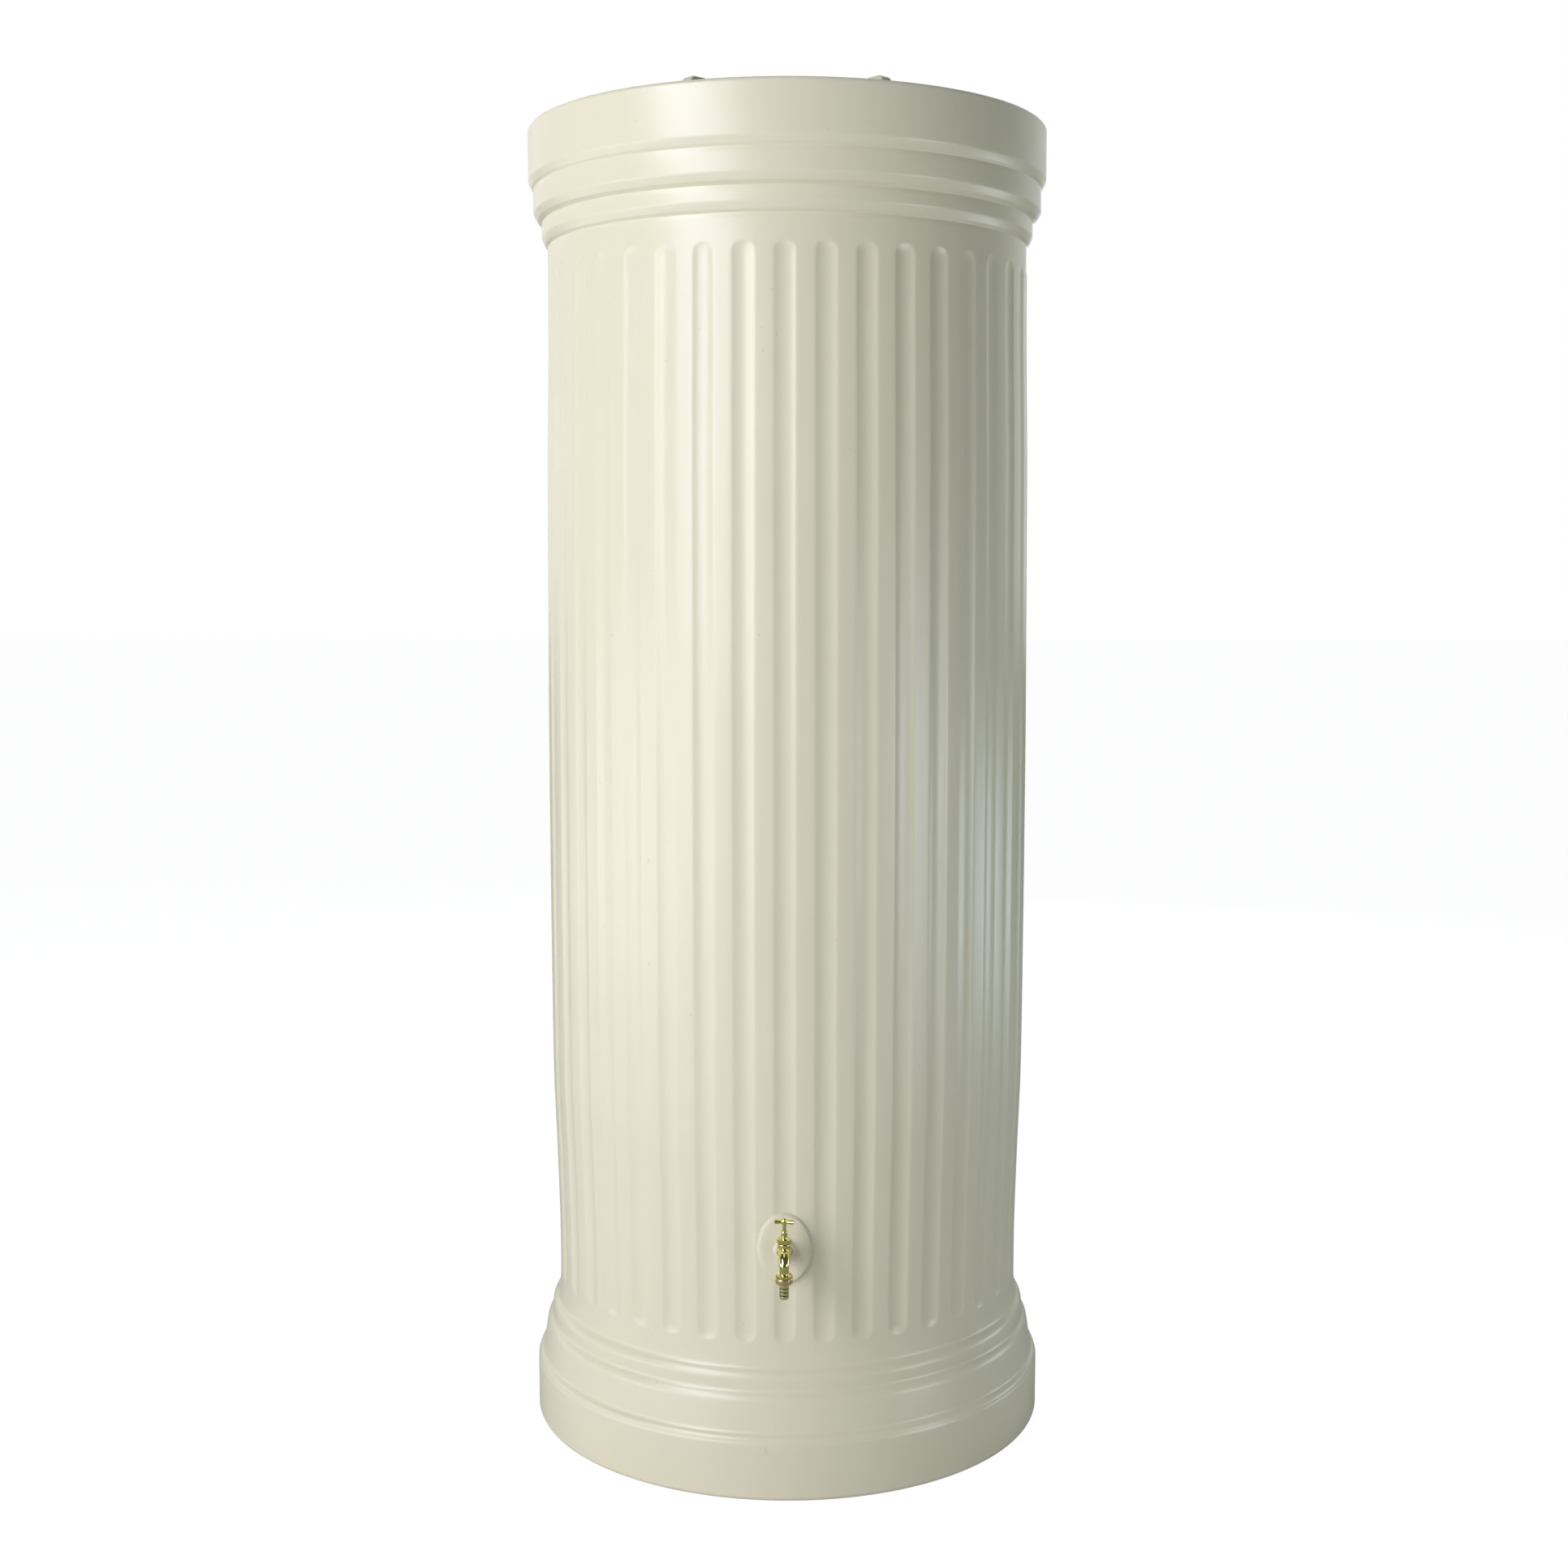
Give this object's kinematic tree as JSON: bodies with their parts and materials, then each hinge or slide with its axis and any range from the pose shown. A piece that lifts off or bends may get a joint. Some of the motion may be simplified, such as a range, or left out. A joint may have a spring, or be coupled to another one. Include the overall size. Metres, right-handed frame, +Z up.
{
  "type": "fluted column water tank",
  "caption": "Tall fluted column rainwater tank in sand plastic with a screw lid and a brass bib tap with T-handle and hose tail.",
  "frame": {"origin": "centre of the tank's foot, on the floor", "axes": "+Z up along the column's axis, -Y out of the front where the tap is, +X to the right seen from the front"},
  "size_m": [0.881, 0.9373, 2.2523],
  "materials": {
    "tank_plastic": "satin",
    "lid_plastic": "satin",
    "brass": "polished",
    "rubber": "matte",
    "fibre": "matte",
    "packing": "matte"
  },
  "bodies": {
    "tank": {"tank_body": "tank_plastic", "tap_insert": "brass", "tap_inlet_washer": "fibre", "tap_body": "brass", "bonnet_washer": "fibre", "bonnet": "brass", "gland_packing": "packing", "gland_nut": "brass", "hose_washer": "rubber", "hose_tail": "brass", "union_nut": "brass"},
    "seal": {"lid_seal": "rubber"},
    "lid": {"lid": "lid_plastic"},
    "jumper": {"jumper_valve": "brass", "jumper_washer": "rubber", "jumper_nut": "brass"},
    "spindle": {"spindle": "brass", "tee_handle": "brass", "handle_screw": "brass"}
  },
  "joints": [
    {"name": "lid_rise", "type": "slide", "parent": "tank", "child": "seal", "axis": [0, 0, 1], "range_m": [0, 0.018]},
    {"name": "lid_turn", "type": "hinge", "parent": "seal", "child": "lid", "pos_m": [0, 0, 2.2198], "axis": [0, 0, 1], "range_deg": [0, 540]},
    {"name": "jumper_lift", "type": "slide", "parent": "tank", "child": "jumper", "axis": [0, 0, 1], "range_m": [0, 0.005]},
    {"name": "spindle_turn", "type": "hinge", "parent": "jumper", "child": "spindle", "pos_m": [0, -0.4562, 0.4143], "axis": [0, 0, 1], "range_deg": [0, 900]}
  ],
  "couplings": [
    {"joint": "lid_turn", "follows": "lid_rise", "rad_per_m": 523.6},
    {"joint": "spindle_turn", "follows": "jumper_lift", "rad_per_m": 3141.6}
  ]
}
